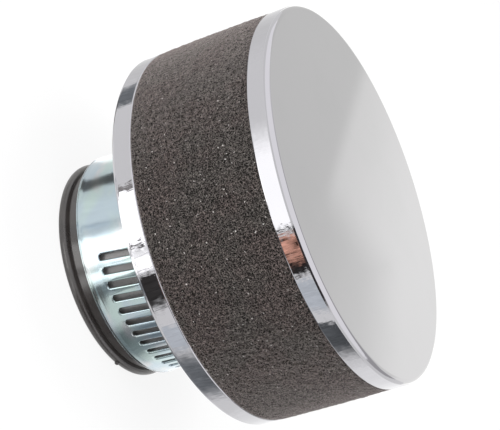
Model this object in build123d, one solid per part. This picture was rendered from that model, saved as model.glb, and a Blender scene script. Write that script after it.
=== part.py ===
from build123d import *
import os
from math import atan2, degrees, floor, radians, sqrt

# Clamp-on air filter: a foam sleeve between two pressed steel plates, on a rubber neck
# that a worm-drive clamp tightens on the intake. The axis is +Z, from the neck's mouth,
# at the origin, to the closed cap. Millimetres and degrees.

# Filter body
rim_diameter = 85.0  # outside of both plates
body_height = 36.5  # underside of the base plate to the face of the cap
plate_thickness = 0.7  # sheet of both plates
plate_edge_chamfer = 0.6  # across the bend between face and rim
rim_height = 4.85  # depth of each pressed plate, face to lip

# Foam sleeve and the steel cage inside it
foam_setback = 0.15  # foam below the rim's surface
foam_clearance = 0.15  # foam end inside the rim
cage_thickness = 0.7
cage_clearance = 0.2  # cage inside the foam
cage_gap = 4.75  # lip of the neck to the cage
cage_margin = 3.4  # plain ring at each end of the cage
diamond_width = 10.2
diamond_height = 18.4
strand_width = 1.8
diamonds_around = 14

# Rubber neck
neck_bore = 42.0
neck_wall = 2.8
bead_height = 2.2  # mouth to the crease above the bead
bead_step = 1.1  # bead proud of the sleeve
bead_chamfer = 0.6
crease_depth = 0.35
grip_bite = 1.2  # plate edge inside the rubber's groove
grip_height = 2.0  # rubber lip above the base plate
grip_step = 1.4  # that lip proud of the sleeve
grip_clearance = 0.05  # rubber to the plate's faces
hole_clearance = 0.1  # rubber in the plate's hole

# Clamp band
band_width = 17.0
band_thickness = 0.7
band_clearance = 0.1  # band round the rubber
bead_gap = 2.8  # crease of the neck to the lower edge of the band
plate_gap = 2.5  # upper edge of the band to the base plate
flare_width = 1.6  # turned-up strip along each edge
flare_rise = 0.3
slot_side_clearance = 0.3  # worm between the ends of a slot
slot_width = 1.3
slot_pitch = 2.97
slot_tilt = 2.0
first_slot_angle = -97.3  # the plain, fixed part of the band ends here
overlap_clearance = 0.15  # between the two layers of the band
lift_radius = 15.0  # bend that carries the tail over the fixed end
anchor_angle = 13.0  # fixed end, before the middle of the housing
tail_angle = 38.0  # free end, past the middle of the housing
tail_margin = 3.2  # last slot to the free end
tail_corner = 3.0

# Worm housing and screw, at the back of the neck
housing_angle = 90.0
housing_length = 13.0
housing_wall = 0.9
housing_bend = 1.0
band_side_clearance = 0.3
floor_clearance = 0.05  # housing floor under the band
saddle_clearance = 0.05  # rubber round the housing floor
worm_diameter = 8.0
thread_depth = 0.8
thread_crest = 0.9
thread_root = 1.9
worm_clearance = 0.25  # screw in its housing, and over the band
end_wall = 1.2  # turned-in end of the housing, which holds the screw
end_play = 0.2
journal_diameter = 5.6
journal_clearance = 0.1
stub_length = 1.5
stub_chamfer = 0.5
collar_diameter = 9.4
collar_height = 1.0
head_across_flats = 7.0
head_height = 4.2
head_chamfer = 0.5
driver_slot_width = 1.2
driver_slot_depth = 1.8

# Radii that more than one piece follows
rim_radius = rim_diameter / 2
bore_radius = neck_bore / 2
neck_radius = bore_radius + neck_wall
grip_radius = neck_radius + grip_step
groove_radius = neck_radius - grip_bite
hole_radius = groove_radius + hole_clearance
band_inner = neck_radius + band_clearance
tail_inner = band_inner + band_thickness + overlap_clearance
foam_outer = rim_radius - foam_setback
cage_inner = grip_radius + cage_gap
cage_outer = cage_inner + cage_thickness
foam_inner = cage_outer + cage_clearance
floor_outer = band_inner - floor_clearance
floor_inner = floor_outer - housing_wall

# Heights that more than one piece follows, the neck being as long as the clamp needs
band_height = bead_height + bead_gap
neck_length = band_height + band_width + plate_gap
base_floor = neck_length + plate_thickness
cap_face = neck_length + body_height
cap_floor = cap_face - plate_thickness
band_middle = band_height + band_width / 2

# Screw axis, a running clearance above the outer layer of the band
worm_radius = worm_diameter / 2
screw_axis_radius = tail_inner + band_thickness + worm_clearance + worm_radius
worm_length = housing_length - 2 * end_wall - 2 * end_play


def ring(outer, inner, bottom, top):
    """A plain tube about Z between two heights."""
    tube = Cylinder(outer, top - bottom) - Cylinder(inner, top - bottom)
    return Pos(0, 0, (bottom + top) / 2) * tube


def pressed_dish():
    """A plate pressed from sheet: its face lies at z=0, its rim points up."""
    dish = ring(rim_radius, rim_radius - plate_thickness, 0, rim_height)
    dish += Pos(0, 0, plate_thickness / 2) * Cylinder(rim_radius, plate_thickness)
    bend = dish.edges().group_by(Axis.Z)[0].sort_by(SortBy.RADIUS)[-1]
    return chamfer(bend, plate_edge_chamfer)


def end_cap():
    return Pos(0, 0, cap_face) * Rot(180, 0, 0) * pressed_dish()


def base_plate():
    hole = Cylinder(hole_radius, 4 * plate_thickness)
    return Pos(0, 0, neck_length) * (pressed_dish() - hole)


def foam_element():
    """Foam sleeve: flush with the rims, with its two ends tucked inside them."""
    tucked = rim_radius - plate_thickness - foam_clearance
    lower_lip = neck_length + rim_height
    upper_lip = cap_face - rim_height
    sleeve = ring(tucked, foam_inner, base_floor, cap_floor)
    return sleeve + ring(foam_outer, foam_inner, lower_lip, upper_lip)


def inner_cage():
    """Expanded-steel tube: staggered rows of diamonds between two plain rings."""
    tube = ring(cage_outer, cage_inner, base_floor, cap_floor)
    open_height = cap_floor - base_floor - 2 * cage_margin
    row_step = diamond_height / 2
    rows = floor((open_height - diamond_height) / row_step) + 1
    across = diamond_width - strand_width
    along = diamond_height - strand_width
    diamond = make_face(
        Polyline((-across / 2, 0), (0, -along / 2), (across / 2, 0), (0, along / 2), close=True)
    )
    middle = (base_floor + cap_floor) / 2
    turn = 360 / diamonds_around
    cutters = []
    for row in range(rows):
        height = middle + (row - (rows - 1) / 2) * row_step
        for place in range(diamonds_around):
            angle = (place + row % 2 / 2) * turn
            side = Plane.YZ.offset(cage_inner - cage_thickness)
            cutter = extrude(side * diamond, 3 * cage_thickness)
            cutters.append(Rot(0, 0, angle) * Pos(0, 0, height) * cutter)
    return tube - cutters


def neck_sleeve():
    """Moulded rubber sleeve: bead at the mouth, groove that grips the base plate."""
    bead_radius = neck_radius + bead_step
    groove_floor = neck_length - grip_clearance
    groove_roof = base_floor + grip_clearance
    top = groove_roof + grip_height
    outline = [
        (bore_radius, 0),
        (bead_radius - bead_chamfer, 0),
        (bead_radius, bead_chamfer),
        (bead_radius, bead_height - 2 * bead_chamfer),
        (neck_radius - crease_depth, bead_height),
        (neck_radius, bead_height),
        (neck_radius, groove_floor),
        (groove_radius, groove_floor),
        (groove_radius, groove_roof),
        (grip_radius, groove_roof),
        (grip_radius, top),
        (bore_radius, top),
    ]
    section = Plane.XZ * make_face(Polyline(*outline, close=True))
    return revolve(section, Axis.Z) - saddle_recess()


def saddle_recess():
    """Where the clamp presses the housing's floor into the rubber."""
    depth = ring(2 * neck_radius, floor_inner - saddle_clearance, 0, neck_length)
    half_width = housing_half_width() + band_side_clearance
    footprint = Box(
        2 * neck_radius,
        housing_length + 2 * band_side_clearance,
        2 * half_width,
        align=(Align.MIN, Align.CENTER, Align.CENTER),
    )
    return Rot(0, 0, housing_angle) * (Pos(0, 0, band_middle) * footprint & depth)


def housing_half_width():
    return band_width / 2 + band_side_clearance + housing_wall


def band_path():
    """Inner line of the strip: once round the neck, then out and over its fixed end."""
    start_angle = housing_angle - anchor_angle
    start = Vector(band_inner, 0).rotate(Axis.Z, start_angle)
    along = Vector(0, 1).rotate(Axis.Z, start_angle)
    lift = tail_inner - band_inner
    run = sqrt(lift * (band_inner + tail_inner - 2 * lift_radius))
    bend = degrees(atan2(run, band_inner - lift_radius))
    lift_end = start_angle + 360 - anchor_angle / 2
    free_end = housing_angle + 360 + tail_angle
    turned = JernArc(start, along, band_inner, lift_end - bend - start_angle)
    rise = Line(turned @ 1, turned @ 1 + run * (turned % 1))
    settle = JernArc(rise @ 1, rise % 1, lift_radius, bend)
    tail = JernArc(settle @ 1, settle % 1, tail_inner, free_end - lift_end)
    return [turned.edge(), rise.edge(), settle.edge(), tail.edge()]


def band_section():
    """Strip with both edges turned up: x points outward, y across the strip."""
    flat = band_width / 2 - flare_width
    inner = [
        (flare_rise, -band_width / 2),
        (0, -flat),
        (0, flat),
        (flare_rise, band_width / 2),
    ]
    outer = [(x + band_thickness, y) for x, y in reversed(inner)]
    return make_face(Polyline(*inner, *outer, close=True))


def strip_along(edge):
    """The strip's section, carried along one arc or straight of its path."""
    along = edge % 0
    plane = Plane(origin=edge @ 0, x_dir=along.cross(Vector(0, 0, 1)), z_dir=along)
    section = plane * band_section()
    if edge.geom_type == GeomType.LINE:
        return extrude(section, edge.length, dir=along)
    turn = degrees(edge.length / edge.radius)
    return revolve(section, Axis(edge.arc_center, (0, 0, 1)), turn)


def strip_plane(path, distance):
    """A plane on the strip at a length along it: x up the filter, z outward."""
    point = path.position_at(distance, position_mode=PositionMode.LENGTH)
    along = path.tangent_at(distance, position_mode=PositionMode.LENGTH)
    outward = along.cross(Vector(0, 0, 1))
    return Plane(origin=point, x_dir=(0, 0, 1), z_dir=outward)


def clamp_band():
    """Strip round the neck, perforated for the worm from its plain part to its tail."""
    edges = band_path()
    path = Wire(edges)
    end_zone = Rectangle(2 * band_width, 2 * tail_corner)
    kept = Pos(0, 2 * tail_corner) * RectangleRounded(band_width, 4 * tail_corner, tail_corner)
    corners = strip_plane(path, path.length) * (end_zone - kept)
    strip = strip_along(edges[-1]) - extrude(corners, 4 * band_thickness, both=True)
    for edge in edges[:-1]:
        strip += strip_along(edge)
    plain_turn = (first_slot_angle - housing_angle + anchor_angle) % 360
    first = radians(plain_turn) * band_inner
    slots = floor((path.length - first - tail_margin) / slot_pitch) + 1
    window = Rectangle(worm_diameter + 2 * slot_side_clearance, slot_width)
    window = Rot(0, 0, slot_tilt) * window
    cutters = []
    for number in range(slots):
        plane = strip_plane(path, first + number * slot_pitch).offset(-overlap_clearance / 2)
        cutters.append(extrude(plane * window, 2 * band_thickness))
    return Pos(0, 0, band_middle) * (strip - cutters)


def housing_outline(half_width, shoulder, arch):
    """Section across the worm housing: x is the distance from the filter's axis."""
    foot = Rectangle(shoulder, 2 * half_width, align=(Align.MIN, Align.CENTER))
    legs = Rectangle(screw_axis_radius, 2 * arch, align=(Align.MIN, Align.CENTER))
    return foot + legs + Pos(screw_axis_radius, 0) * Circle(arch)


def clamp_housing():
    """Pressed saddle: floor under the band, arch over the screw, ends turned in."""
    across = Plane(origin=(0, 0, band_middle), x_dir=(1, 0, 0), z_dir=(0, -1, 0))
    half_width = housing_half_width()
    shoulder = tail_inner + flare_rise + band_thickness + worm_clearance + housing_wall
    arch = worm_radius + worm_clearance + housing_wall
    outer = housing_outline(half_width, shoulder, arch)
    inside = (half_width - housing_wall, shoulder - housing_wall)
    room = housing_outline(*inside, worm_radius + worm_clearance)
    doorway = housing_outline(*inside, journal_diameter / 2 + journal_clearance)
    body = extrude(across * outer, housing_length / 2, both=True)
    long_edges = body.edges().filter_by(Axis.Y)
    body = fillet([edge for edge in long_edges if abs(edge.center().X - shoulder) < 0.01], housing_bend)
    hollow = extrude(across * room, worm_length / 2 + end_play, both=True)
    hollow += extrude(across * doorway, housing_length, both=True)
    middle = Pos(0, 0, band_middle)
    hollow -= middle * Cylinder(floor_outer, 2 * band_width)
    housing = body - hollow - middle * Cylinder(floor_inner, 2 * band_width)
    return Rot(0, 0, housing_angle) * housing


def worm_thread():
    """Trapezium tooth wound about Z, cut square at both ends of the worm."""
    root_radius = worm_radius - thread_depth
    sunk = thread_depth / 8
    turns_length = worm_length + 2 * slot_pitch
    helix = Helix(slot_pitch, turns_length, root_radius - sunk)
    foot = Plane(origin=helix @ 0, x_dir=(1, 0, 0), z_dir=helix % 0)
    tooth = make_face(
        Polyline(
            (0, -thread_root / 2),
            (thread_depth + sunk, -thread_crest / 2),
            (thread_depth + sunk, thread_crest / 2),
            (0, thread_root / 2),
            close=True,
        )
    )
    thread = sweep(foot * tooth, helix, is_frenet=True)
    return Pos(0, 0, -turns_length / 2) * thread & Cylinder(2 * worm_radius, worm_length)


def clamp_screw():
    """Captive worm screw: worm, journals, collar and slotted hexagon head."""
    upward = (Align.CENTER, Align.CENTER, Align.MIN)
    reach = housing_length / 2 + end_play
    worm = Cylinder(worm_radius - thread_depth, worm_length) + worm_thread()
    shaft = Cylinder(journal_diameter / 2, 2 * reach + stub_length, align=upward)
    shaft = chamfer(shaft.edges().sort_by(Axis.Z)[0], stub_chamfer)
    collar = Cylinder(collar_diameter / 2, collar_height, align=upward)
    blank = Cylinder(head_across_flats / sqrt(3), head_height, align=upward)
    blank = chamfer(blank.edges().sort_by(Axis.Z)[-1], head_chamfer)
    hexagon = RegularPolygon(head_across_flats / 2, 6, major_radius=False)
    head = blank & extrude(hexagon, head_height)
    head -= Pos(0, 0, head_height) * Box(
        2 * head_across_flats, driver_slot_width, 2 * driver_slot_depth
    )
    screw = worm + Pos(0, 0, -reach - stub_length) * shaft
    screw += Pos(0, 0, reach) * collar
    screw += Pos(0, 0, reach + collar_height) * head
    placed = Pos(screw_axis_radius, 0, band_middle) * Rot(-90, 0, 0) * screw
    return Rot(0, 0, housing_angle) * placed


pieces = {
    "end_cap": end_cap,
    "base_plate": base_plate,
    "foam_element": foam_element,
    "inner_cage": inner_cage,
    "neck_sleeve": neck_sleeve,
    "clamp_band": clamp_band,
    "clamp_housing": clamp_housing,
    "clamp_screw": clamp_screw,
}

os.makedirs("parts", exist_ok=True)
for name, build in pieces.items():
    piece = build()
    piece.label = name
    export_step(piece, f"parts/{name}.step")
    print(name, len(piece.solids()), round(piece.volume, 1))
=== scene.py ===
from math import atan2, cos, pi, radians, sin, sqrt

import bmesh
import bpy
from mathutils import Matrix, Vector, noise


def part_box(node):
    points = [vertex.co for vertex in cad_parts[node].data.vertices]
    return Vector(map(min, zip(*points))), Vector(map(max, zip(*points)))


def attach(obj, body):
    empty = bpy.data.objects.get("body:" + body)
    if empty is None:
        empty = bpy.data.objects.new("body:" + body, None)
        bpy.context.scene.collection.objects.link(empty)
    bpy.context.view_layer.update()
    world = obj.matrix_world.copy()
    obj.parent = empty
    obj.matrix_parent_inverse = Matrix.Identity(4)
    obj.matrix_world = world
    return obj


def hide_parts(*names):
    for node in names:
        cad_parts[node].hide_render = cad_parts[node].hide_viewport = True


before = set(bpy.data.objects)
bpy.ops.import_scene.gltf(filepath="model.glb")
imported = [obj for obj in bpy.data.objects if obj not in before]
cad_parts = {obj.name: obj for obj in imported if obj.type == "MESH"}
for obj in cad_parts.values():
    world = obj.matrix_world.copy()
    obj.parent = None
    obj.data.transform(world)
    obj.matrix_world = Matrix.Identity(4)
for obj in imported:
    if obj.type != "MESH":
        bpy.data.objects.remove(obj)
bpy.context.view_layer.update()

mm = 0.001


# End cap: a shallow dish pressed from 0.7 mm steel and bright chromed. It closes the filter,
# and its turned-down rim holds the upper end of the foam. The outer bend is about 1 mm.
def spun(name, outline, rounds, steps):
    """A piece turned about Z from a closed outline of (radius, height), corners rounded. A side
    of the outline that lies on the axis is left out."""
    mesh = bmesh.new()
    corners = [mesh.verts.new((radius, 0, height)) for radius, height in outline]
    for here, there in zip(corners, corners[1:] + corners[:1]):
        if here.co.x > 0 or there.co.x > 0:
            mesh.edges.new((here, there))
    for corner, size in zip(corners, rounds):
        if size > 0:
            bmesh.ops.bevel(
                mesh,
                geom=[corner],
                offset=size,
                offset_type="OFFSET",
                affect="VERTICES",
                segments=6,
                profile=0.5,
                material=-1,
            )
    bmesh.ops.spin(
        mesh,
        geom=mesh.verts[:] + mesh.edges[:],
        cent=(0, 0, 0),
        axis=(0, 0, 1),
        angle=2 * pi,
        steps=steps,
        use_merge=True,
    )
    return finished(name, mesh)


weld = 0.001 * mm


def finished(name, mesh):
    """The bmesh as an object at the origin, closed, with its faces outward and smooth."""
    bmesh.ops.remove_doubles(mesh, verts=mesh.verts, dist=weld)
    bmesh.ops.recalc_face_normals(mesh, faces=mesh.faces)
    for face in mesh.faces:
        face.smooth = True
    data = bpy.data.meshes.new(name)
    mesh.to_mesh(data)
    mesh.free()
    piece = bpy.data.objects.new(name, data)
    bpy.context.scene.collection.objects.link(piece)
    return piece


def weigh_normals(piece):
    """Flat faces stay flat in reflections beside small rounded edges."""
    weighing = piece.modifiers.new("flat_faces", "WEIGHTED_NORMAL")
    weighing.mode = "FACE_AREA"
    weighing.weight = 100
    weighing.keep_sharp = True


class Signal:
    """A socket of a material. Sums and products of it add Math nodes."""

    def __init__(self, tree, socket=None):
        self.tree = tree
        self.socket = socket

    def node(self, kind, settings=None, inputs=None, output=0):
        """Adds any node, with its settings first, then the values or links of its sockets."""
        made = self.tree.nodes.new(kind)
        for key, value in (settings or {}).items():
            setattr(made, key, value)
        for key, value in (inputs or {}).items():
            if isinstance(value, Signal):
                self.tree.links.new(value.socket, made.inputs[key])
            else:
                made.inputs[key].default_value = value
        return Signal(self.tree, made.outputs[output])

    def math(self, operation, *values):
        return self.node("ShaderNodeMath", {"operation": operation}, dict(enumerate(values)))

    def __add__(self, other):
        return self.math("ADD", self, other)

    def __radd__(self, other):
        return self.math("ADD", other, self)

    def __sub__(self, other):
        return self.math("SUBTRACT", self, other)

    def __rsub__(self, other):
        return self.math("SUBTRACT", other, self)

    def __mul__(self, other):
        return self.math("MULTIPLY", self, other)

    def __rmul__(self, other):
        return self.math("MULTIPLY", other, self)

    def step(self, low, high):
        """0 below low, 1 above high, smooth between them."""
        settings = {"interpolation_type": "SMOOTHSTEP"}
        inputs = {"Value": self, "From Min": low, "From Max": high}
        return self.node("ShaderNodeMapRange", settings, inputs)

    def noise(self, size, detail, stretch=(1, 1, 1)):
        """Cloudy pattern whose blots are about this size, from coordinates."""
        spread = self.node("ShaderNodeMapping", None, {"Vector": self, "Scale": stretch})
        inputs = {"Vector": spread, "Scale": 1 / size, "Detail": detail}
        return self.node("ShaderNodeTexNoise", None, inputs, "Fac")

    def cells(self, size):
        """Cells of about this size: how far each point is from its cell's middle."""
        inputs = {"Vector": self, "Scale": 1 / size}
        return self.node("ShaderNodeTexVoronoi", None, inputs, "Distance")

    def tint(self, colour, other):
        """From one colour to the other as this value goes from 0 to 1."""
        colours = [c if isinstance(c, Signal) else (*c, 1) for c in (colour, other)]
        inputs = {"Factor": self, 6: colours[0], 7: colours[1]}
        return self.node("ShaderNodeMix", {"data_type": "RGBA"}, inputs, 2)

    def bump(self, depth, strength):
        """A normal for a surface this much higher where the value is 1."""
        inputs = {"Height": self, "Distance": depth, "Strength": strength}
        return self.node("ShaderNodeBump", None, inputs)


def new_finish(name):
    """A material with its Principled shader, and its object coordinates to draw on."""
    material = bpy.data.materials.new(name)
    material.use_nodes = True
    tree = material.node_tree
    shader = tree.nodes["Principled BSDF"]
    place = Signal(tree).node("ShaderNodeTexCoord", output="Object")
    return material, shader, place


def wire_up(shader, **sockets):
    """Sets the shader's sockets, named with _ for a space, to values or signals."""
    for key, value in sockets.items():
        socket = shader.inputs[key.replace("_", " ")]
        if isinstance(value, Signal):
            value.tree.links.new(value.socket, socket)
        else:
            socket.default_value = value


cap_low, cap_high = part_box("end_cap")
rim_radius = (cap_high.y - cap_low.y) / 2
cap_face = cap_high.z
cap_lip = cap_low.z
sheet = 0.7 * mm
bend_outside = 1.25 * mm
bend_inside = 0.25 * mm
lip_round = 0.3 * mm
ring_steps = 288  # facets round the filter

end_cap = spun(
    "end_cap_chrome",
    [
        (0, cap_face),
        (rim_radius, cap_face),
        (rim_radius, cap_lip),
        (rim_radius - sheet, cap_lip),
        (rim_radius - sheet, cap_face - sheet),
        (0, cap_face - sheet),
    ],
    [0, bend_outside, lip_round, lip_round, bend_inside, 0],
    ring_steps,
)
weigh_normals(end_cap)

chrome, chrome_shader, place = new_finish("bright_chrome")
without_height = {0: place, 1: (1, 1, 0)}
from_axis = place.node("ShaderNodeVectorMath", {"operation": "MULTIPLY"}, without_height)
from_axis = place.node("ShaderNodeVectorMath", {"operation": "LENGTH"}, {0: from_axis}, "Value")
on_rim = from_axis.step(rim_radius - bend_outside, rim_radius - 0.3 * bend_outside)
drawn = place.noise(0.8 * mm, 2, (1, 1, 0.12)) + 0.5 * place.noise(2.5 * mm, 2, (1, 1, 0.3))
rolling = place.noise(16 * mm, 1)
orange_peel = place.noise(1.1 * mm, 2)
along_y, along_x = (1, 0.04, 1), (0.04, 1, 1)
hairlines = place.noise(0.5 * mm, 3, along_y) * place.noise(0.5 * mm, 3, along_x)
haze = place.noise(14 * mm, 4).step(0.42, 0.72)
dust = 1 - place.cells(2.4 * mm).step(0.02, 0.05)
wire_up(
    chrome_shader,
    Base_Color=haze.tint((0.505, 0.5, 0.522), (0.495, 0.492, 0.512)),
    Metallic=1.0,
    Roughness=0.03 + 0.015 * haze + 0.06 * hairlines.step(0.3, 0.45) + 0.2 * dust,
    Normal=(on_rim * drawn * 1.2 + 0.012 * orange_peel + 0.25 * rolling).bump(0.02 * mm, 0.5),
)
end_cap.data.materials.append(chrome)
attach(end_cap, "filter")
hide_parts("end_cap")


# Base plate: the same pressing upside down, with a hole that the rubber neck snaps into.
# Its rim holds the lower end of the foam.
base_low, base_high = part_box("base_plate")
plate_hole = 22.7 * mm
hole_round = 0.15 * mm

base_plate = spun(
    "base_plate_chrome",
    [
        (plate_hole, base_low.z),
        (rim_radius, base_low.z),
        (rim_radius, base_high.z),
        (rim_radius - sheet, base_high.z),
        (rim_radius - sheet, base_low.z + sheet),
        (plate_hole, base_low.z + sheet),
    ],
    [hole_round, bend_outside, lip_round, lip_round, bend_inside, hole_round],
    ring_steps,
)
weigh_normals(base_plate)
base_plate.data.materials.append(chrome)
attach(base_plate, "filter")
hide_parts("base_plate")


# Foam element: a sleeve cut from open-cell polyurethane foam, squeezed between the two plates.
# Its cells are about half a millimetre, so its face and its outline are ragged.
foam_low, foam_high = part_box("foam_element")
foam_radius = (foam_high.y - foam_low.y) / 2
foam_inside = 30.85 * mm
tucked_gap = 0.15 * mm
tucked_radius = rim_radius - sheet - tucked_gap
foam_step = 0.3 * mm
ragged = 0.16 * mm
tufts_per_mm = 2.3
clumps_per_mm = 0.9
clumps_away = Vector((40, 0, 0))
swell = 0.2 * mm

foam_shown = cap_lip - base_high.z
rows = round(foam_shown / foam_step)
around = round(2 * pi * foam_radius / foam_step)
outline = [(foam_inside, foam_low.z), (tucked_radius, foam_low.z), (tucked_radius, base_high.z)]
outline += [(foam_radius, base_high.z + foam_shown * row / rows) for row in range(rows + 1)]
outline += [(tucked_radius, cap_lip), (tucked_radius, foam_high.z), (foam_inside, foam_high.z)]
outline.append(outline[0])

mesh = bmesh.new()
bmesh.ops.create_grid(mesh, x_segments=around, y_segments=len(outline) - 1, size=1)
for vert in mesh.verts:
    angle = pi * (vert.co.x + 1)
    radius, height = outline[round((vert.co.y + 1) / 2 * (len(outline) - 1))]
    up = (height - base_high.z) / foam_shown
    vert.co = (radius * cos(angle), radius * sin(angle), height)
    if radius == foam_radius and 0 < up < 1:
        at = vert.co / mm
        tufts = noise.noise(at * tufts_per_mm)
        clumps = noise.noise(at * clumps_per_mm + clumps_away)
        radius += ragged * (tufts + 0.7 * clumps) + swell * sqrt(4 * up * (1 - up))
        vert.co.xy = (radius * cos(angle), radius * sin(angle))
foam = finished("foam_sleeve", mesh)

foam_finish, foam_shader, place = new_finish("open_cell_foam")
wandering = place.noise(0.55 * mm, 2) - 0.5
strands = 1 - wandering.math("ABSOLUTE", wandering).step(0.0, 0.05)
fine_wandering = place.noise(0.34 * mm, 1) - 0.5
fine_strands = 1 - fine_wandering.math("ABSOLUTE", fine_wandering).step(0.0, 0.06)
web = strands.math("MAXIMUM", 0.9 * strands, 0.7 * fine_strands)
grit = place.noise(0.3 * mm, 2)
# Painted highlights: small white specks in the base colour stand in for glints of light on the
# strands.
painted_glints = 1 - place.cells(1.3 * mm).step(0.09, 0.17)
cloud = place.noise(9 * mm, 3).step(0.38, 0.62)
strand_colour = cloud.tint((0.150, 0.134, 0.124), (0.162, 0.130, 0.122))
# Painted shade: between the strands the colour is near black, standing in for the shade deep in
# the open cells.
strands_with_painted_shade = (web * (5.2 * grit - 1.75)).tint((0.005, 0.0045, 0.004), strand_colour)
wire_up(
    foam_shader,
    Base_Color=(painted_glints * grit.step(0.5, 0.62)).tint(strands_with_painted_shade, (0.55, 0.53, 0.51)),
    Roughness=0.8,
    Specular_IOR_Level=0.1,
    Sheen_Weight=0.55,
    Sheen_Roughness=0.3,
    Sheen_Tint=(1, 0.89, 0.86, 1),
    Normal=(web + 0.3 * grit).bump(0.15 * mm, 0.6),
)
foam.data.materials.append(foam_finish)
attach(foam, "filter")
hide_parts("foam_element")


# Inner cage: a tube rolled from expanded steel, galvanised. It stands between the two plates
# and keeps the foam from being drawn in. Only the bore of the neck shows it.
cage_finish, cage_shader, place = new_finish("galvanised_steel")
spangle = place.cells(2.2 * mm).step(0.1, 0.9)
white_rust = place.noise(5 * mm, 4).step(0.55, 0.75)
wire_up(
    cage_shader,
    Base_Color=white_rust.tint(
        spangle.tint((0.42, 0.43, 0.44), (0.55, 0.56, 0.57)),
        (0.5, 0.5, 0.49),
    ),
    Metallic=1.0 - 0.5 * white_rust,
    Roughness=0.32 + 0.15 * spangle + 0.2 * white_rust,
    Normal=place.noise(0.8 * mm, 3).bump(0.05 * mm, 0.5),
)
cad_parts["inner_cage"].data.materials.clear()
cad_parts["inner_cage"].data.materials.append(cage_finish)


# Neck: a sleeve of moulded rubber that slides over the intake. It has a round bead at its
# mouth with a crease above, a groove that grips the base plate and the nub of a mould vent.
neck_low, neck_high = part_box("neck_sleeve")
bore = 21.0 * mm
neck_radius = 23.8 * mm
bead_setback = 0.3 * mm
bead_radius = (neck_high.x - neck_low.x) / 2 - bead_setback
bead_height = 2.2 * mm
crease_depth = 0.35 * mm
crease_slope = 0.25 * mm
crease_drop = 0.05 * mm
grip_radius = 25.2 * mm
groove_radius = 22.6 * mm
grip_gap = 0.05 * mm

# The solid has a recess for the worm housing's floor. This ring has none, so that floor lies
# inside the rubber, out of sight.
neck = spun(
    "neck_rubber",
    [
        (bore, neck_low.z),
        (bead_radius, neck_low.z),
        (bead_radius, bead_height - crease_slope),
        (neck_radius - crease_depth, bead_height - crease_drop),
        (neck_radius, bead_height + crease_slope),
        (neck_radius, base_low.z - grip_gap),
        (groove_radius, base_low.z - grip_gap),
        (groove_radius, base_low.z + sheet + grip_gap),
        (grip_radius, base_low.z + sheet + grip_gap),
        (grip_radius, neck_high.z),
        (bore, neck_high.z),
    ],
    [size * mm for size in (0.4, 0.9, 0.8, 0.12, 0.12, 0.1, 0, 0, 0.3, 0.5, 0.3)],
    ring_steps,
)
weigh_normals(neck)

vent_angle = radians(-39)
vent_height = 0.8 * mm
vent_nub = 0.55 * mm
mesh = bmesh.new()
mesh.from_mesh(neck.data)
on_bead = Matrix.Rotation(vent_angle, 4, "Z") @ Matrix.Translation((bead_radius, 0, vent_height))
nub = bmesh.ops.create_icosphere(mesh, subdivisions=3, radius=vent_nub, matrix=on_bead)
for vert in nub["verts"]:
    for face in vert.link_faces:
        face.smooth = True
mesh.to_mesh(neck.data)
mesh.free()

rubber, rubber_shader, place = new_finish("moulded_rubber")
# Painted light: in the band's height the rubber, seen only through the slots, is painted much
# paler. It stands in for light the rubber reflects there and undoes the shade of the slots.
press_low, press_high = [corner.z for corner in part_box("clamp_band")]
press_fade = 1 * mm
height = place.node("ShaderNodeSeparateXYZ", None, {0: place}, "Z")
above_press = height.step(press_high - press_fade, press_high)
painted_light_under_band = height.step(press_low, press_low + press_fade) * (1 - above_press)
bloom = place.noise(6 * mm, 4).step(0.4, 0.75)
pebble = place.noise(0.35 * mm, 3)
flow = place.noise(2.5 * mm, 3, (1, 1, 3))
specks = 1 - place.cells(1.9 * mm).step(0.03, 0.08)
bare = bloom.tint((0.024, 0.0205, 0.0195), (0.036, 0.031, 0.029))
rubber_with_painted_light = painted_light_under_band.tint(bare, (0.24, 0.228, 0.225))
wire_up(
    rubber_shader,
    Base_Color=(0.3 * specks).tint(rubber_with_painted_light, (0.3, 0.29, 0.28)),
    Roughness=0.24 + 0.1 * bloom + 0.08 * pebble,
    Specular_IOR_Level=0.9,
    Normal=(0.5 * pebble + 0.5 * flow).bump(0.04 * mm, 0.5),
)
neck.data.materials.append(rubber)
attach(neck, "filter")
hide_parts("neck_sleeve")


# Clamp band: a strip of 0.7 mm steel, zinc plated, punched with slots for the worm. It is
# rolled round the neck with its edges turned up, and its tail runs out over its fixed end.
band_low, band_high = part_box("clamp_band")
band_width = band_high.z - band_low.z
band_middle = (band_high.z + band_low.z) / 2
band_inner = 23.9 * mm
band_sheet = 0.7 * mm
flare_width = 1.6 * mm
flare_rise = 0.3 * mm
slot_length = 8.6 * mm
slot_width = 1.3 * mm
slot_pitch = 2.97 * mm
slot_tilt = radians(-6)  # as the worm's right-hand thread lies
slot_corners = 20
slot_margin = 0.7 * mm
band_edge_round = 0.33 * mm
first_slot = radians(-97.3)
housing_angle = radians(90)
anchor_turn = radians(13)
tail_turn = radians(38)
tail_margin = 3.2 * mm
tail_corner = 3.0 * mm
lift_radius = 15 * mm
tail_gap = 0.15 * mm
tail_inner = band_inner + band_sheet + tail_gap

lift = tail_inner - band_inner
lift_run = sqrt(lift * (band_inner + tail_inner - 2 * lift_radius))
lift_bend = atan2(lift_run, band_inner - lift_radius)
band_start = housing_angle - anchor_turn
lift_start = band_start + 2 * pi - anchor_turn / 2 - lift_bend
lift_end = lift_start + lift_bend
turned_length = band_inner * (lift_start - band_start)
settle_length = lift_radius * lift_bend
tail_length = tail_inner * (housing_angle + 2 * pi + tail_turn - lift_end)
band_length = turned_length + lift_run + settle_length + tail_length


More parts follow.
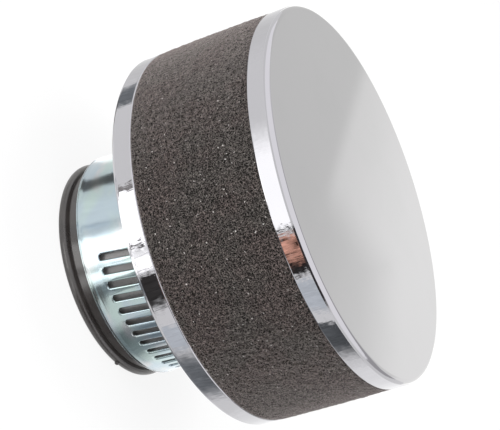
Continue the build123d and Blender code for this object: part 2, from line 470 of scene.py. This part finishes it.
def on_band(along, outward):
    """The place of a point of the flat strip once it is rolled, seen from above."""
    if along < turned_length:
        angle = band_start + along / band_inner
        return Matrix.Rotation(angle, 2) @ Vector((band_inner + outward, 0))
    corner = Matrix.Rotation(lift_start, 2)
    along -= turned_length
    if along < lift_run:
        return corner @ Vector((band_inner + outward, along))
    along -= lift_run
    if along < settle_length:
        angle = along / lift_radius
        middle = corner @ Vector((band_inner - lift_radius, lift_run))
        return middle + Matrix.Rotation(lift_start + angle, 2) @ Vector((lift_radius + outward, 0))
    along -= settle_length
    return Matrix.Rotation(lift_end + along / tail_inner, 2) @ Vector((tail_inner + outward, 0))


def side_edges(mesh, axis, value):
    """The open edges of the flat strip whose two ends lie at this value of x or y."""
    found = []
    for edge in mesh.edges:
        if all(abs(vert.co[axis] - value) < weld for vert in edge.verts):
            if len(edge.link_faces) == 1:
                found.append(edge)
    return found


def drawn_out(mesh, edges, shift):
    """Extrudes open edges by a shift and gives the new edges."""
    made = bmesh.ops.extrude_edge_only(mesh, edges=edges)["geom"]
    verts = [part for part in made if isinstance(part, bmesh.types.BMVert)]
    bmesh.ops.translate(mesh, verts=verts, vec=shift)
    return [part for part in made if isinstance(part, bmesh.types.BMEdge)
            and all(vert in verts for vert in part.verts)]


plain_length = band_inner * ((first_slot - band_start) % (2 * pi)) - slot_pitch / 2
slots = int((band_length - plain_length - slot_pitch / 2 - tail_margin) / slot_pitch) + 1
plain_steps = round(plain_length / (slot_pitch / 2))
tail_steps = 4
flat_steps = 2
flare_steps = 5
flare_curve = 1.6
window_half = slot_length / 2 + slot_margin

mesh = bmesh.new()
turned = Matrix.Rotation(pi / slot_corners, 4, "Z")
circle = {"segments": slot_corners, "radius": slot_width / 2, "matrix": turned}
slot_ring = bmesh.ops.create_circle(mesh, **circle)["verts"]
window_ring = bmesh.ops.create_circle(mesh, **circle)["verts"]
for vert in slot_ring:
    vert.co.y += (slot_length - slot_width) / 2 * (1 if vert.co.y > 0 else -1)
for vert in window_ring:
    across, along = vert.co.x / (slot_width / 2), vert.co.y / (slot_width / 2)
    reach = max(abs(across), abs(along))
    vert.co = (across / reach * slot_pitch / 2, along / reach * window_half, 0)
tilted = Matrix.Rotation(slot_tilt, 3, "Z")
bmesh.ops.rotate(mesh, verts=slot_ring, cent=(0, 0, 0), matrix=tilted)
bmesh.ops.bridge_loops(mesh, edges=mesh.edges[:])
window = mesh.verts[:] + mesh.edges[:] + mesh.faces[:]
for number in range(1, slots):
    copy = bmesh.ops.duplicate(mesh, geom=window)["geom"]
    verts = [part for part in copy if isinstance(part, bmesh.types.BMVert)]
    bmesh.ops.translate(mesh, verts=verts, vec=(number * slot_pitch, 0, 0))
bmesh.ops.translate(mesh, verts=mesh.verts, vec=(plain_length + slot_pitch / 2, 0, 0))
bmesh.ops.remove_doubles(mesh, verts=mesh.verts, dist=2 * weld)
edges = side_edges(mesh, 0, plain_length)
for step in range(plain_steps):
    edges = drawn_out(mesh, edges, (-plain_length / plain_steps, 0, 0))
edges = side_edges(mesh, 0, plain_length + slots * slot_pitch)
left_over = band_length - plain_length - slots * slot_pitch
for step in range(tail_steps):
    edges = drawn_out(mesh, edges, (left_over / tail_steps, 0, 0))
flat = band_width / 2 - flare_width - window_half
for side in (1, -1):
    edges = side_edges(mesh, 1, side * window_half)
    for step in range(flat_steps):
        edges = drawn_out(mesh, edges, (0, side * flat / flat_steps, 0))
    rise = 0
    for step in range(1, flare_steps + 1):
        risen = flare_rise * (step / flare_steps) ** flare_curve
        edges = drawn_out(mesh, edges, (0, side * flare_width / flare_steps, risen - rise))
        rise = risen
bmesh.ops.recalc_face_normals(mesh, faces=mesh.faces)
strip_map = mesh.loops.layers.uv.new("along_strip")
for face in mesh.faces:
    for loop in face.loops:
        loop[strip_map].uv = loop.vert.co.xy / band_width
for vert in mesh.verts:
    across = abs(vert.co.y) - (band_width / 2 - tail_corner)
    from_end = band_length - vert.co.x
    if across > 0 and from_end < left_over:
        cut = tail_corner - sqrt(max(0, tail_corner**2 - across**2))
        vert.co.x -= cut * (1 - from_end / left_over)
for vert in mesh.verts:
    place_on = on_band(vert.co.x, band_sheet + vert.co.z)
    vert.co = (place_on.x, place_on.y, band_middle + vert.co.y)
for face in mesh.faces:
    face.smooth = True
data = bpy.data.meshes.new("clamp_band_zinc")
mesh.to_mesh(data)
mesh.free()
band = bpy.data.objects.new("clamp_band_zinc", data)
bpy.context.scene.collection.objects.link(band)
# As built, this thickness grows outward, away from the neck, so the strip lies one sheet
# further out than the solid does.
thick = band.modifiers.new("thickness", "SOLIDIFY")
thick.thickness = band_sheet
thick.offset = -1
soft = band.modifiers.new("soft_edges", "BEVEL")
soft.width = band_edge_round
soft.use_clamp_overlap = False
soft.segments = 4
soft.limit_method = "ANGLE"
soft.angle_limit = radians(50)
weigh_normals(band)


def zinc_finish(name, drawn):
    """Blue-passivated zinc: pale, with faint green and lilac colours and drawing lines, which
    run along the strip where it is drawn and along X where it isn't."""
    material, shader, place = new_finish(name)
    if drawn:
        place = Signal(material.node_tree).node("ShaderNodeUVMap", {"uv_map": "along_strip"})
        unit = 1 / 16  # about a millimetre, as the map counts in widths of the strip
    else:
        unit = mm
    clouds = place.noise(5 * unit, 3, (0.6, 1, 1))
    hue = place.noise(7 * unit, 2, (0.5, 1, 1))
    lines = place.noise(0.25 * unit, 3, (0.03, 1, 1))
    pits = 1 - place.cells(0.8 * unit).step(0.04, 0.12)
    blue_green = hue.step(0.4, 0.65).tint((0.43, 0.51, 0.56), (0.46, 0.56, 0.54))
    colour = clouds.step(0.5, 0.72).tint(blue_green, (0.54, 0.55, 0.56))
    wire_up(
        shader,
        Base_Color=(0.5 * pits).tint(colour, (0.4, 0.41, 0.42)),
        Metallic=1.0,
        Roughness=0.1 + 0.08 * clouds.step(0.35, 0.7) + 0.06 * lines,
        Normal=(0.6 * lines + 0.4 * clouds).bump(0.03 * mm, 0.35),
    )
    return material


band.data.materials.append(zinc_finish("zinc_strip", True))
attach(band, "filter")
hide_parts("clamp_band")


# Worm housing: a saddle pressed from 0.9 mm steel and zinc plated. Its floor lies under the
# band, its arch covers the worm, and its turned-in ends hold the screw.
flat_within = radians(0.5)


def softened(node, name, edge_round, angle=28):
    """A copy of a CAD piece with its facets joined again. Its edges sharper than this angle, in
    degrees, are rounded."""
    mesh = bmesh.new()
    mesh.from_mesh(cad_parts[node].data)
    bmesh.ops.remove_doubles(mesh, verts=mesh.verts, dist=weld)
    bmesh.ops.dissolve_limit(
        mesh, angle_limit=flat_within, verts=mesh.verts, edges=mesh.edges, delimit={"NORMAL"}
    )
    piece = finished(name, mesh)
    soft = piece.modifiers.new("soft_edges", "BEVEL")
    soft.width = edge_round
    soft.segments = 2
    soft.limit_method = "ANGLE"
    soft.angle_limit = radians(angle)
    weigh_normals(piece)
    return piece


housing = softened("clamp_housing", "clamp_housing_zinc", 0.14 * mm)
housing.data.materials.append(zinc_finish("zinc_pressing", False))
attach(housing, "filter")
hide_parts("clamp_housing")


# Worm screw: turned from steel and zinc plated, with a slotted hexagon head. It is the one
# piece that turns. Like the solid it is a bare core, without the worm's thread.
screw = softened("clamp_screw", "clamp_screw_zinc", 0.1 * mm, 35)
screw.data.materials.append(zinc_finish("zinc_screw", False))
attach(screw, "worm")
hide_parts("clamp_screw")


# Photographer's table: a plain white floor and white surroundings, with the object's soft
# shadow. White and dark cards lie round the filter for the plating to mirror.
def seen_white(tree):
    """1 for rays from the camera, from reflections and through glass, else 0."""
    start = Signal(tree)
    kinds = ("Is Camera Ray", "Is Glossy Ray", "Is Transmission Ray")
    rays = [start.node("ShaderNodeLightPath", output=kind) for kind in kinds]
    return start.math("MAXIMUM", start.math("MAXIMUM", rays[0], rays[1]), rays[2])


def stage_finish(name):
    """A material for the stage, empty but for its output."""
    material = bpy.data.materials.new(name)
    material.use_nodes = True
    tree = material.node_tree
    tree.nodes.clear()
    return material, tree, tree.nodes.new("ShaderNodeOutputMaterial").inputs["Surface"]


floor_size = 6.0
shadow_share = 0.14
floor_mesh = bmesh.new()
bmesh.ops.create_grid(floor_mesh, x_segments=1, y_segments=1, size=floor_size / 2)
floor = finished("floor", floor_mesh)
table, tree, surface = stage_finish("white_table")
start = Signal(tree)
paper = start.node("ShaderNodeBsdfDiffuse", None, {"Color": (0.8, 0.8, 0.8, 1)})
glow = start.node("ShaderNodeEmission", None, {"Color": (1, 1, 1, 1), "Strength": 1.0})
share = seen_white(tree) * (1 - shadow_share)
mixed = start.node("ShaderNodeMixShader", None, {0: share, 1: paper, 2: glow})
tree.links.new(mixed.socket, surface)
floor.data.materials.append(table)

ambient = 0.55
world = bpy.data.worlds.new("white_studio")
world.use_nodes = True
bpy.context.scene.world = world
tree = world.node_tree
tree.nodes.clear()
strength = seen_white(tree) * (1 - ambient) + ambient
inputs = {"Color": (1, 1, 1, 1), "Strength": strength}
sky = Signal(tree).node("ShaderNodeBackground", None, inputs)
tree.links.new(sky.socket, tree.nodes.new("ShaderNodeOutputWorld").inputs["Surface"])


studio_turn = radians(1)  # turns camera and cards, so that the slots stand as photographed


def only_mirrored(card):
    """Turns a card with the studio and lets it show in reflections and nowhere else."""
    card.rotation_euler.z = studio_turn
    card.visible_camera = False
    card.visible_diffuse = False
    card.visible_shadow = False
    card.visible_transmission = False


def floor_card(name, near, far, colour, glow, soft=(3, 3), streaks=0.4, layer=0, stands=0):
    """A card on the floor with ragged ends. near and far are each a radius and two angles
    round the filter, glow is the strength at each, soft is the fading at the ends, in degrees,
    and streaks is how strongly lines run out across it. A card of a higher layer lies on those
    below it; one that stands has its far edge lifted."""
    ragged_end, bite, line = 2, 1.6, 0.9  # degrees
    bite_depth, line_depth = 7 * mm, 30 * mm
    lowest, layer_gap = 0.4 * mm, 0.1 * mm
    width = (near[2] - near[1] + far[2] - far[1]) / 2 + 2 * ragged_end
    mesh = bmesh.new()
    bmesh.ops.create_grid(mesh, x_segments=12, y_segments=2, size=1)
    on_card = mesh.loops.layers.uv.new("card")
    for face in mesh.faces:
        for loop in face.loops:
            loop[on_card].uv = (loop.vert.co.xy + Vector((1, 1))) / 2
    for vert in mesh.verts:
        across, out = (vert.co.x + 1) / 2, (vert.co.y + 1) / 2
        radius, first, last = [a + (b - a) * out for a, b in zip(near, far)]
        angle = radians(first - ragged_end + (last - first + 2 * ragged_end) * across)
        height = lowest + layer_gap * layer + stands * out
        vert.co = (radius * cos(angle), radius * sin(angle), height)
    card = finished(name, mesh)
    only_mirrored(card)
    material, tree, surface = stage_finish(name)
    start = Signal(tree)
    place = start.node("ShaderNodeUVMap", {"uv_map": "card"})
    across, out = [place.node("ShaderNodeSeparateXYZ", None, {0: place}, key) for key in "XY"]
    depth = far[0] - near[0] + stands
    bites = place.noise(1, 3, (width / bite, depth / bite_depth, 1)) - 0.5
    lines = place.noise(1, 2, (width / line, depth / line_depth, 1)) - 0.5
    across = across + bites * (6 * ragged_end / width)
    low = ragged_end / width
    beyond = across.step(1 - low - soft[1] / width, 1 - low)
    shown = across.step(low, low + soft[0] / width) * (1 - beyond)
    strength = (glow[0] + (glow[1] - glow[0]) * out) * (1 + 4 * streaks * lines)
    clear = start.node("ShaderNodeBsdfTransparent")
    light = start.node("ShaderNodeEmission", None, {"Color": (*colour, 1), "Strength": strength})
    mixed = start.node("ShaderNodeMixShader", None, {0: shown, 1: clear, 2: light})
    tree.links.new(mixed.socket, surface)
    card.data.materials.append(material)


close, near, middle, far = 26.3 * mm, 60 * mm, 140 * mm, 280 * mm
flare_edge, contact_edge, band_edge = 32.5 * mm, 33.5 * mm, 39 * mm
white, slate, dark, copper = (1, 1, 1), (0.88, 0.94, 1), (1, 0.94, 0.93), (1, 0.52, 0.39)
floor_card(
    "card_white", (close, -114.5, -99), (middle, -133.5, -94), white,
    glow=(2.6, 2.6), streaks=0,
)
floor_card(
    "card_white_far", (middle, -144, -84), (far, -144, -84), white,
    glow=(1.95, 1.95), soft=(24, 2), streaks=0,
)
floor_card(
    "card_white_glints", (near, -98, -87), (middle, -98, -86), white,
    glow=(2.0, 2.0), soft=(1, 1), streaks=0.8,
)
floor_card(
    "card_white_line", (close, -94.5, -86.5), (near, -94.5, -86.5), white,
    glow=(2.4, 2.4), soft=(1, 1), streaks=0,
)
floor_card(
    "card_glints_edge", (near, -100, -97), (middle, -100, -97), dark,
    glow=(0.2, 0.2), soft=(1, 1), streaks=0.8, layer=1,
)
floor_card(
    "card_streak", (near, -122, -118.5), (middle, -132.5, -129), dark,
    glow=(0.3, 0.5), soft=(1, 1), streaks=0.6, layer=1,
)
# Painted shadow: this dark card round the foot of the neck stands in for the object's shadow on
# the floor, as the rubber and the band mirror it.
floor_card(
    "card_painted_contact_shadow", (close, -86, -13.5), (contact_edge, -86, -17.5), dark,
    glow=(0.13, 0.2), soft=(4, 10), streaks=0.2, layer=2,
)
floor_card(
    "card_band_dark", (close, -86, -74.5), (near, -86, -73.5), slate,
    glow=(0.36, 0.36), soft=(2, 4), streaks=0.5,
)
floor_card(
    "card_band_edge", (contact_edge, -86, -60.5), (band_edge, -86, -73.5), dark,
    glow=(0.14, 0.2), soft=(1, 3), streaks=0.6, layer=1,
)
floor_card(
    "card_band_dip", (contact_edge, -52.5, -33.5), (band_edge, -49.5, -37.5), slate,
    glow=(0.16, 0.3), soft=(3, 5), streaks=0.4, layer=2,
)
floor_card(
    "card_dark_front", (near, -86, -66), (middle, -86, -66.5), dark,
    glow=(0.06, 0.05), soft=(1, 7),
)
floor_card(
    "card_copper", (middle, -84, -64.5), (far, -84, -64.5), copper,
    glow=(0.7, 0.7), soft=(4, 6), streaks=1.3, layer=2,
)
floor_card(
    "card_copper_edge", (middle, -86, -83.5), (far, -86, -83.5), dark,
    glow=(0.1, 0.1), soft=(1, 1), layer=3,
)
floor_card(
    "card_dark_front_far", (middle, -71, -58.5), (far, -71, -58.5), dark,
    glow=(0.03, 0.03), soft=(0.5, 4), layer=1,
)
floor_card(
    "card_dark_beyond", (far, -86, -34.5), (far, -86, -34.5), dark,
    glow=(0.06, 0.06), soft=(2, 10), streaks=0.3, stands=160 * mm,
)
floor_card(
    "card_slate_left", (near, -180, -165), (middle, -205, -177), slate,
    glow=(0.28, 0.28), soft=(7, 5), layer=1,
)
floor_card(
    "card_band_left", (flare_edge, -163.5, -151.5), (near, -188, -169), dark,
    glow=(0.14, 0.12), soft=(2, 2), streaks=0.7, layer=2,
)
floor_card(
    "card_band_light", (close, -150, -118), (near, -156, -128), white,
    glow=(1.16, 1.16), soft=(10, 2), streaks=0.1,
)
floor_card(
    "card_band_streak", (close, -126, -122), (near, -130, -126), slate,
    glow=(1.0, 0.6), soft=(1, 1), streaks=0.8, layer=1,
)
floor_card(
    "card_dim_front", (near, -62.5, -51.5), (far, -58.5, -27.5), slate,
    glow=(0.9, 0.86), soft=(4, 6), streaks=0.15,
)
floor_card(
    "card_slate_right", (close, -65.5, -18.5), (middle, -41.5, 1), slate,
    glow=(0.34, 0.2), soft=(14, 16), layer=1,
)
floor_card(
    "card_slate_right_far", (middle, -40.5, -3), (far, -20.5, 12.5), slate,
    glow=(0.2, 0.06), soft=(3, 18), layer=1,
)
floor_card(
    "card_shade_left", (near, 141, 184), (far, 93, 186), white,
    glow=(0.8, 0.97), soft=(10, 40), streaks=0.05,
)
floor_card(
    "card_light_left", (near, 124, 142), (middle, 110, 132), white,
    glow=(1.25, 1.25), soft=(6, 6), streaks=0.05, layer=1,
)
floor_card(
    "card_white_left", (close, 146, 174), (near, 146, 169), white,
    glow=(1.7, 1.7), soft=(4, 6), streaks=0,
)
floor_card(
    "card_band_right", (close, -17.5, 30), (near, -11.5, 36), white,
    glow=(1.35, 1.35), soft=(6, 8), streaks=0.05, layer=1,
)
floor_card(
    "card_light_right", (near, -1.5, 60), (far, 6.5, 66), white,
    glow=(1.12, 1.28), soft=(8, 8), streaks=0.05,
)


def glowing_sheet(name, place, size, tilt, colour, strength_at):
    """A flat card away from the floor, whose strength is worked out from its own place."""
    mesh = bmesh.new()
    bmesh.ops.create_grid(mesh, x_segments=1, y_segments=1, size=1)
    sized = Matrix.Rotation(tilt, 4, "X") @ Matrix.Diagonal((*size, 1, 1))
    bmesh.ops.transform(mesh, matrix=Matrix.Translation(place) @ sized, verts=mesh.verts)
    card = finished(name, mesh)
    only_mirrored(card)
    material, tree, surface = stage_finish(name)
    place = Signal(tree).node("ShaderNodeTexCoord", output="Object")
    x, y, z = [place.node("ShaderNodeSeparateXYZ", None, {0: place}, key) for key in "XYZ"]
    inputs = {"Color": (*colour, 1), "Strength": strength_at(x, y, z)}
    tree.links.new(place.node("ShaderNodeEmission", None, inputs).socket, surface)
    card.data.materials.append(material)


def wall_strength(x, y, z):
    """Grey above a slanting edge, white below it, brightest at the floor. A fainter shade with
    a bent lower edge hangs in the white."""
    edge_height, edge_slope = 0.1765, 0.76
    shade_middle, shade_height, shade_slope = 0.036, 0.16, 0.37
    grey, white_rise, slow_rise, floor_rise, shade_fall = 0.86, 0.17, 0.19, 0.5, 0.19
    below = edge_height + edge_slope * x - z
    sideways = x - shade_middle
    shade = z - shade_height - shade_slope * sideways.math("ABSOLUTE", sideways)
    in_white = below.step(0, 0.009) * (white_rise - shade_fall * shade.step(-0.011, 0.012))
    level = grey + in_white + slow_rise * below.step(-0.01, 0.06)
    return level + floor_rise * (1 - z.step(0.02, 0.055))


def ceiling_strength(x, y, z):
    """White, with a grey end that edges the cap's face with a thin line."""
    bright, grey_fall = 1.3, 0.75
    return bright - grey_fall * x.step(-0.45, 0.05) * y.step(0.34, 0.46)


glowing_sheet("card_behind", (0, 0.3, 0.15), (0.25, 0.15), pi / 2, (1, 1, 0.975), wall_strength)
glowing_sheet("card_above", (0, -0.15, 0.7), (2.0, 1.6), 0, (0.985, 0.975, 1), ceiling_strength)


filter_middle = Vector((0, 0, 0.03))


def softbox(name, place, size, energy):
    """A soft area lamp that faces the filter."""
    lamp = bpy.data.lights.new(name, "AREA")
    lamp.shape = "SQUARE"
    lamp.size = size
    lamp.energy = energy
    light = bpy.data.objects.new(name, lamp)
    light.location = place
    aim = filter_middle - Vector(place)
    light.visible_glossy = False
    light.rotation_euler = aim.to_track_quat("-Z", "Y").to_euler()
    bpy.context.scene.collection.objects.link(light)


softbox("key", (-0.55, -0.55, 0.45), 0.5, 7.0)
softbox("fill", (0.6, -0.4, 0.3), 0.5, 3.0)
softbox("top", (0.0, 0.2, 0.8), 0.6, 5.0)


# Camera: where the photograph was taken from. It is turned on its side, because the filter
# lies on its side in the photograph and stands here. It turns with the studio.
camera_data = bpy.data.cameras.new("camera")
camera_data.lens = 120.53
camera_data.sensor_width = 36.0
camera_data.clip_start = 0.01
camera = bpy.data.objects.new("camera", camera_data)
right = Vector((0.31313, 0.35273, 0.88178))
up = Vector((-0.94969, 0.12273, 0.28815))
back = Vector((-0.00658, -0.92764, 0.37341))
viewpoint = Vector((-0.00498, -0.34276, 0.17317))
held = Matrix.Translation(viewpoint) @ Matrix((right, up, back)).transposed().to_4x4()
camera.matrix_world = Matrix.Rotation(studio_turn, 4, "Z") @ held
bpy.context.scene.collection.objects.link(camera)
bpy.context.scene.camera = camera

bpy.context.scene.view_settings.view_transform = "Standard"
